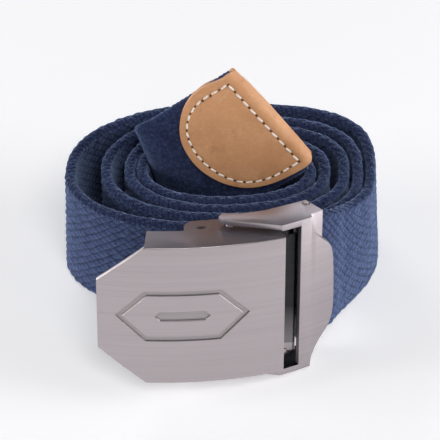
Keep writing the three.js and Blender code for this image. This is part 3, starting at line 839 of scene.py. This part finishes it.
for shown, colour in (
    (tan.spread(tanGrain, 0.35, 0.75, 0.0, 0.3), "grain"),
    (tan.spread(tanScuffs, 0.6, 0.74, 0.0, 0.3), "scuffed"),
    (tan.spread(tanScuffs, 0.26, 0.4, 0.35, 0.0), "stained"),
    # painted shade of the needle holes
    (tan.spread(fromNeedle, 0.38, 0.54, 1.0, 0.0), "needleHoleShade"),
    (tan.spread(tan.math("ABSOLUTE", offLine), 0.2, 0.75, 0.25, 0.0), "seam"),
):
    tanColour = tan.blend(shown, tanColour, hide[colour])
tan.surface({"Base Color": tanColour, "Roughness": 0.52, "Specular IOR Level": 0.35})
tan.raised(tan.total((tanGrain, 1.0), (tan.spots(tanPlace, 2200), 0.35)), leather["bump"])
tip.data.materials.append(tan.owner)
settle(tip, "strap_side", "tip_leather", "leather_tip")

print("stage: stitches")
clearSelection()
bpy.ops.mesh.primitive_cylinder_add(
    vertices=stitch["sides"],
    radius=0.5,
    depth=1,
    end_fill_type="NGON",
    calc_uvs=False,
    rotation=(0, math.pi / 2, 0),
)
bpy.ops.object.transform_apply(location=False, rotation=True, scale=False)
firstStitch = bpy.context.object
bpy.ops.object.mode_set(mode="EDIT")
for cut in stitch["cuts"]:
    bpy.ops.mesh.select_all(action="SELECT")
    bpy.ops.mesh.bisect(plane_co=(cut, 0, 0), plane_no=(1, 0, 0))
bpy.ops.object.mode_set(mode="OBJECT")
stitchShape = readPoints(firstStitch)  # -0.5 to 0.5 along the thread, a round section of width 1


def stitchPoints(start, end, front):
    along = stitchShape[:, 0] + 0.5
    arch = np.sin(math.pi * np.clip(along, 0, 1)) ** 0.5
    taper = stitch["endShare"] + (1 - stitch["endShare"]) * arch
    direction = unit(end - start)
    sideways = np.array([-direction[1], direction[0]])
    wide = stitchShape[:, 1] * stitch["wide"] * taper + stitch["slant"] * (along - 0.5)
    flatAt = start + np.outer(stitch["from"] + along * stitch["share"], end - start) + np.outer(wide, sideways)
    high = stitchShape[:, 2] * stitch["high"] * taper
    proud = leather["wall"] / 2 - leather["seamDip"][0] - stitch["endsUnder"] + stitch["arch"] * arch + high
    return leatherPlace(flatAt[:, 0], flatAt[:, 1], proud, front)


stitches = []
for side in (1.0, -1.0):
    for line in (needleRound, needleFold):
        holes = line.copy()
        if side < 0:
            holes[:, 1] -= shorterBack(line)
        for start, end in zip(holes, holes[1:]):
            nextStitch = firstStitch.copy()
            nextStitch.data = firstStitch.data.copy()
            bpy.context.collection.objects.link(nextStitch)
            writePoints(nextStitch, stitchPoints(start, end, side))
            stitches.append(nextStitch)
bpy.data.objects.remove(firstStitch)
stitching = joined(stitches, "tip_stitching")
faceOutwards(stitching)
bpy.ops.object.shade_smooth()
linen = Nodes(bpy.data.materials.new("cream_thread"))
twist = linen.add(
    "ShaderNodeTexWave", Vector=linen.place(), Scale=420, Distortion=1.5, bands_direction="DIAGONAL"
).outputs["Fac"]
linen.surface({"Base Color": linen.blend(twist, stitch["dark"], stitch["light"]), "Roughness": 0.7})
linen.raised(twist, stitch["bump"])
stitching.data.materials.append(linen.owner)
settle(stitching, "strap_side", "tip_leather")


print("stage: buckle")
brushing = {
    "fine": (12, 50, 3600),  # streaks to a metre along the plate, into it and up it
    "broad": (3, 20, 700),
    "swing": 0.04,  # of the roughness
    "bump": 0.000012,  # m
}
cadCopy = {"merge": 0.004, "flat": 0.4, "sharp": 35}  # mm, and two angles in degrees
buckleTurn = tuple(buckleMatrix().to_euler())
upright = buckleMatrix().to_3x3().col[2]


def brushedMetal(name, light, dark, roughness, paintedReflection=None):
    metal = Nodes(bpy.data.materials.new(name))
    along = metal.add("ShaderNodeMapping", vector_type="TEXTURE", Rotation=buckleTurn, Vector=metal.place())
    turned = along.outputs[0]
    fine = metal.noise(metal.stretched(turned, brushing["fine"]), 1.0, 5, 0.8)
    broad = metal.noise(metal.stretched(turned, brushing["broad"]), 1.0, 4, 0.7)
    streaks = metal.total((fine, 0.6), (broad, 0.4))
    colour = metal.blend(metal.spread(streaks, 0.3, 0.7), dark, light)
    if paintedReflection:  # painted reflection: from this height down to that one it turns to this brighter colour
        fromHeight, toHeight, reflectionColour = paintedReflection
        colour = metal.blend(metal.spread(metal.split(turned)[2], fromHeight, toHeight), colour, reflectionColour)
    swing = brushing["swing"]
    dullness = metal.spread(streaks, 0.3, 0.7, roughness + swing, roughness - swing)
    metal.surface({"Base Color": colour, "Roughness": dullness, "Metallic": 1.0, "Anisotropic": 0.4})
    metal.raised(streaks, brushing["bump"])
    return metal.owner


steel = {
    "light": (0.045, 0.043, 0.046),
    "dark": (0.028, 0.027, 0.03),
    "roughness": 0.3,
    "end": (0.19, 0.178, 0.186),  # painted reflection: the bar is painted brighter at the slot's lower end
    "reflectionFrom": -4,  # from the buckle's middle
    "reflectionTo": -14.5,
}
nickel = brushedMetal("brushed_nickel", (0.49, 0.442, 0.458), (0.39, 0.346, 0.36), 0.36)
etchedNickel = brushedMetal("etched_nickel", (0.43, 0.395, 0.4), (0.36, 0.33, 0.335), 0.5)
# painted shade: a darker, cooler copy of the nickel, and rougher, for the faces of the cover's flanges that
# look up
shadedFlangeNickel = brushedMetal("flange_nickel_painted_shade", (0.35, 0.325, 0.365), (0.27, 0.25, 0.28), 0.52)
# painted light: a slightly lighter, bluer copy of the nickel, and rougher, for the faces of the frame's arms
# that look up
litArmNickel = brushedMetal("arm_nickel_painted_light", (0.5, 0.465, 0.515), (0.4, 0.37, 0.41), 0.5)
# the spring's own dark steel, used also as painted shade on the low faces that look up in the slot's lower end
darkSteelAndSlotShade = brushedMetal("dark_polished_steel_and_painted_shade", steel["light"], steel["dark"], steel["roughness"])
barMiddle = (Vector(buckle["at"]) + Vector(placeShift)).dot(upright)
barEnd = ((barMiddle + steel["reflectionFrom"]) * mm, (barMiddle + steel["reflectionTo"]) * mm, steel["end"])
# painted reflection: the bar's dark steel turns brighter towards its lower end
barSteelWithReflection = brushedMetal("bar_steel_painted_reflection", steel["light"], steel["dark"], steel["roughness"], barEnd)


def finishedCopy(node, name, edge, added=None):
    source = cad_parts[node]
    piece = source.copy()
    piece.data = source.data.copy()
    for key in list(piece.keys()):
        del piece[key]
    piece.name = name
    piece.parent = None
    bpy.context.collection.objects.link(piece)
    piece.data.materials.clear()
    pick(piece)
    bpy.ops.object.mode_set(mode="EDIT")
    bpy.ops.mesh.select_all(action="SELECT")
    bpy.ops.mesh.remove_doubles(threshold=cadCopy["merge"] * mm)
    bpy.ops.mesh.select_all(action="SELECT")
    bpy.ops.mesh.dissolve_limited(angle_limit=math.radians(cadCopy["flat"]))
    bpy.ops.object.mode_set(mode="OBJECT")
    if added:
        combine(piece, added, "UNION")
    roundEdges(piece, edge, 2, cadCopy["sharp"])
    bpy.ops.object.shade_smooth_by_angle(angle=math.radians(cadCopy["sharp"]))
    return piece


def paintLightAndShadeOnUpperFaces(piece, finish, least, below=math.inf):  # another metal on the faces that look up, under a height; the calls use it for painted shade and painted light
    piece.data.materials.append(finish)
    for face in piece.data.polygons:
        if face.normal.dot(upright) > least and face.center.z < below:
            face.material_index = len(piece.data.materials) - 1


print("stage: cover plate")
cover = {
    "length": 51.2,
    "height": 42.6,
    "wall": 1.2,
    "flange": 9.1,
    "cutAlong": 13.0,
    "cutDown": 10.5,
    "fold": 0.45,  # radius between face and flange
    "edge": 0.18,
    "bevel": 0.16,
    "earFrom": -1.5,
    "earTo": 14.6,
    "earDepth": 14.2,
    "earRound": 3.4,
    "holes": ((3.8, 10.2, 3.0, 1.3), (12.3, 10.2, 2.8, 2.8)),  # in each ear: along, depth, long and wide
    "holeAt": 20.6,  # from the middle, in the flange
    "step": 0.32,
    "faceRows": 140,
    "merge": 0.003,
    "looksUp": 0.9,  # how straight up a face of the cover looks to be a flange's; these faces get the darker flange nickel as painted shade
    "armLooksUp": 0.8,  # the same for the frame's arms, whose faces that look up get the lighter, bluer arm nickel as painted light
    "slotEnd": 0.015,  # m; lower faces that look up, in the slot's lower end, get the dark steel as painted shade
}
groove = {
    "length": 36.0,
    "height": 15.5,
    "nose": 7.5,
    "width": 1.3,
    "centre": -2.5,
    "pointInset": 0.75,  # from the outline to the groove's middle at the points
    "noseInset": 0.25,
    "step": 0.9,
    "section": [(1.0, -0.8), (0.79, -0.04), (0.65, 0.1), (0.55, 0.45)],  # half width at each depth
    "bar": 14.9,
    "barEnds": (0, 0.35, 0.85, 1.3),  # the bar narrows over this way
    "barPlaces": np.linspace(-5.4, 5.4, 13),
    "barSection": [(2.154, -0.8), (1.58, -0.04), (1.3, 0.1), (1.1, 0.45)],
}


def inBelt(local):  # from the buckle's own frame, in mm, to the belt's, in metres
    turn = np.array(buckleMatrix())
    return (local @ turn[:3, :3].T + turn[:3, 3] + placeShift) * mm


def onBow(along, depth, height):  # a place on the bowed plate
    x, y = bowPlace(along, depth)
    return inBelt(np.column_stack([x, y, height]))


def coverColumns():  # way along the bow, half height, depth of the flange there
    half, cut = cover["length"] / 2, -cover["length"] / 2 + cover["cutAlong"]
    r, deep, earFrom, earTo = (cover[k] for k in ("earRound", "earDepth", "earFrom", "earTo"))

    def evenRun(a, b, depth):
        count = max(2, int(round((b - a) / cover["step"])))
        return [(a + (b - a) * k / count, depth) for k in range(count + 1)]

    corner = [(r * math.cos(a), deep - r + r * math.sin(a)) for a in np.linspace(0, math.pi / 2, 9)]
    rows = evenRun(-half, cut, cover["wall"]) + evenRun(cut, earFrom, cover["flange"])
    rows += [(earFrom + r - x, depth) for x, depth in corner]
    rows += evenRun(earFrom + r, earTo - r, deep)[1:]
    rows += [(earTo - r + x, depth) for x, depth in corner[-2::-1]]
    rows += evenRun(earTo, half, cover["flange"])
    slope = cover["cutDown"] / cover["cutAlong"]
    return [(along, cover["height"] / 2 - max(0, cut - along) * slope, depth) for along, depth in rows]


def coverRing(high, deep):  # heights and depths round the section, bottom to top outside and back inside
    wall, r, e = cover["wall"], cover["fold"], cover["edge"]
    arc = [(high - r + r * math.sin(a), r - r * math.cos(a)) for a in np.linspace(math.pi / 2, 0, 5)]
    flangeOut = [(high, d) for d in np.linspace(deep - e, r, 7)[:-1]]
    lower = [(high - e, deep), *flangeOut, *arc]
    faceHeights = np.linspace(-(high - r), high - r, cover["faceRows"] + 1)[1:-1]
    outside = [(-z, d) for z, d in lower] + [(z, 0) for z in faceHeights] + lower[::-1]
    inner = [(high - wall + e, deep), (high - wall, max(deep - e, wall))]
    inner += [(high - wall, wall + (max(deep - e, wall) - wall) * k) for k in (0.5, 0)]
    backHeights = np.linspace(high - wall, -(high - wall), 9)[1:-1]
    inside = inner + [(z, wall) for z in backHeights] + [(-z, d) for z, d in inner[::-1]]
    return outside + inside


columns = coverColumns()
ringTable = np.array([coverRing(high, deep) for _, high, deep in columns])
ringCount = ringTable.shape[1]
coverPlate, column, ringPlace = gridPiece("cover_plate_brushed", len(columns) - 1, ringCount)
section = ringTable[column, ringPlace % ringCount]
alongTable = np.array([along for along, _, _ in columns])
writePoints(coverPlate, onBow(alongTable[column], section[:, 1], section[:, 0]))
closeUp(coverPlate, cover["merge"])
roundEdges(coverPlate, cover["bevel"], 2, 55)


# stations: place, sideways direction and width share; halfSection: half width and depth
def sweptCutter(stations, halfSection, closed):
    table = np.array(stations, float)
    section = np.array([(-x, depth) for x, depth in halfSection] + halfSection[::-1])
    cutter, station, corner = gridPiece("cutter", len(table) if closed else len(table) - 1, len(section))
    station, corner = station % len(table), corner % len(section)
    flatAt = table[station, :2] + table[station, 2:4] * section[corner, :1] * table[station, 4:5]
    writePoints(cutter, onBow(flatAt[:, 0], section[corner, 1], flatAt[:, 1]))
    closeUp(cutter, cover["merge"], not closed)
    return cutter


def sixSidedRing():
    x = groove["length"] / 2 - groove["pointInset"]
    y = groove["height"] / 2 - groove["width"] / 2
    nose = groove["nose"] - groove["noseInset"]
    corners = np.array([(-x, 0), (-x + nose, -y), (x - nose, -y), (x, 0), (x - nose, y), (-x + nose, y)])
    corners[:, 0] += groove["centre"]
    rows = []
    for i in range(6):
        before, here, after = corners[i - 1], corners[i], corners[(i + 1) % 6]
        inward, outward = unit(here - before), unit(after - here)
        normalIn, normalOut = np.array([inward[1], -inward[0]]), np.array([outward[1], -outward[0]])
        mitre = (normalIn + normalOut) / (1 + normalIn.dot(normalOut))
        rows.append((*here, *mitre, 1))
        count = int(np.linalg.norm(after - here) / groove["step"])
        for k in range(1, count):
            rows.append((*(here + (after - here) * k / count), *normalOut, 1))
    return rows


cutters = [sweptCutter(sixSidedRing(), groove["section"], True)]
barHalf, barTaper = groove["bar"] / 2, groove["barEnds"][-1]
barEnds = barHalf - np.array(groove["barEnds"])
barRows = [
    (groove["centre"] + x, 0, 0, 1, min(1, max(0.04, (barHalf - abs(x)) / barTaper)))
    for x in (*-barEnds, *groove["barPlaces"], *barEnds[::-1])
]
cutters.append(sweptCutter(barRows, groove["barSection"], False))
for side in (-1, 1):
    for along, depth, long, wide in cover["holes"]:
        clearSelection()
        bpy.ops.mesh.primitive_cylinder_add(vertices=36, radius=0.5, depth=4)
        hole = bpy.context.object
        middle = (*bowPlace(along, depth), side * cover["holeAt"])
        writePoints(hole, inBelt(readPoints(hole) * (long, wide, 1) + middle))
        cutters.append(hole)
engraving = joined(cutters, "engraving")
engraving.data.materials.append(etchedNickel)
coverPlate.data.materials.append(nickel)
combine(coverPlate, engraving, "DIFFERENCE", "TRANSFER")
# painted shade: the flange faces that look up get the darker copy of the nickel
paintLightAndShadeOnUpperFaces(coverPlate, shadedFlangeNickel, cover["looksUp"])
# painted shade: the cover's low faces that look up, in the slot's lower end, get the near-black steel
paintLightAndShadeOnUpperFaces(coverPlate, darkSteelAndSlotShade, cover["looksUp"], cover["slotEnd"])
pick(coverPlate)
bpy.ops.object.shade_smooth_by_angle(angle=math.radians(32))
settle(coverPlate, "cover", "brushed_nickel", "cover_plate")
print("cover plate faces:", len(coverPlate.data.polygons), [m.name for m in coverPlate.data.materials])


print("stage: cam")
cam = {
    "at": (25.6, 12.35, 0),
    "half": (3.48, 2.65, 18.5),  # of its width, depth and height
    "square": 8.0,  # higher is squarer
    # painted reflection: below this height the bar gets the bright nickel
    "reflectionBelow": -16.0,
}
clearSelection()
bpy.ops.mesh.primitive_cylinder_add(vertices=56, radius=1, depth=2, end_fill_type="NGON")
camBody = bpy.context.object
shape = readPoints(camBody)
angle = np.arctan2(shape[:, 1], shape[:, 0])
for k, way in ((0, np.cos(angle)), (1, np.sin(angle))):
    shape[:, k] = np.sign(way) * np.abs(way) ** (2 / cam["square"])
writePoints(camBody, inBelt(shape * cam["half"] + cam["at"]))


metalPieces = {  # body, slot, rounding of the edges and finish
    "end_frame": ("strap_side", "brushed_nickel", 0.15, nickel),
    "cam_bar": ("cover", "dark_steel", 0.1, barSteelWithReflection),
    "clamp_bar": ("strap_side", "brushed_nickel", 0.1, nickel),
    "hinge_pin": ("strap_side", "brushed_nickel", 0.1, nickel),
    "hinge_spring": ("strap_side", "dark_steel", 0.03, darkSteelAndSlotShade),
}
for nodeName, (bodyName, slotName, edgeWidth, finish) in metalPieces.items():
    added = camBody if nodeName == "cam_bar" else None
    metalPiece = finishedCopy(nodeName, nodeName + "_metal", edgeWidth, added)
    metalPiece.data.materials.append(finish)
    if nodeName == "cam_bar":  # painted reflection: the lower end of the bar gets the bright nickel
        cutAt = inBelt(np.array([0, 0, cam["reflectionBelow"]]))
        pick(metalPiece)
        bpy.ops.object.mode_set(mode="EDIT")
        bpy.ops.mesh.select_all(action="SELECT")
        bpy.ops.mesh.bisect(plane_co=cutAt, plane_no=upright)
        bpy.ops.object.mode_set(mode="OBJECT")
        metalPiece.data.materials.append(nickel)
        for face in metalPiece.data.polygons:
            if (face.center - Vector(cutAt)).dot(upright) < 0:
                face.material_index = 1
    if nodeName == "end_frame":
        # painted light: the arm faces that look up get the lighter, bluer copy of the nickel
        paintLightAndShadeOnUpperFaces(metalPiece, litArmNickel, cover["armLooksUp"])
        # painted shade: the frame's low faces that look up, in the slot's lower end, get the near-black steel
        paintLightAndShadeOnUpperFaces(metalPiece, darkSteelAndSlotShade, cover["armLooksUp"], cover["slotEnd"])
    settle(metalPiece, bodyName, slotName, nodeName)


bpy.context.view_layer.update()
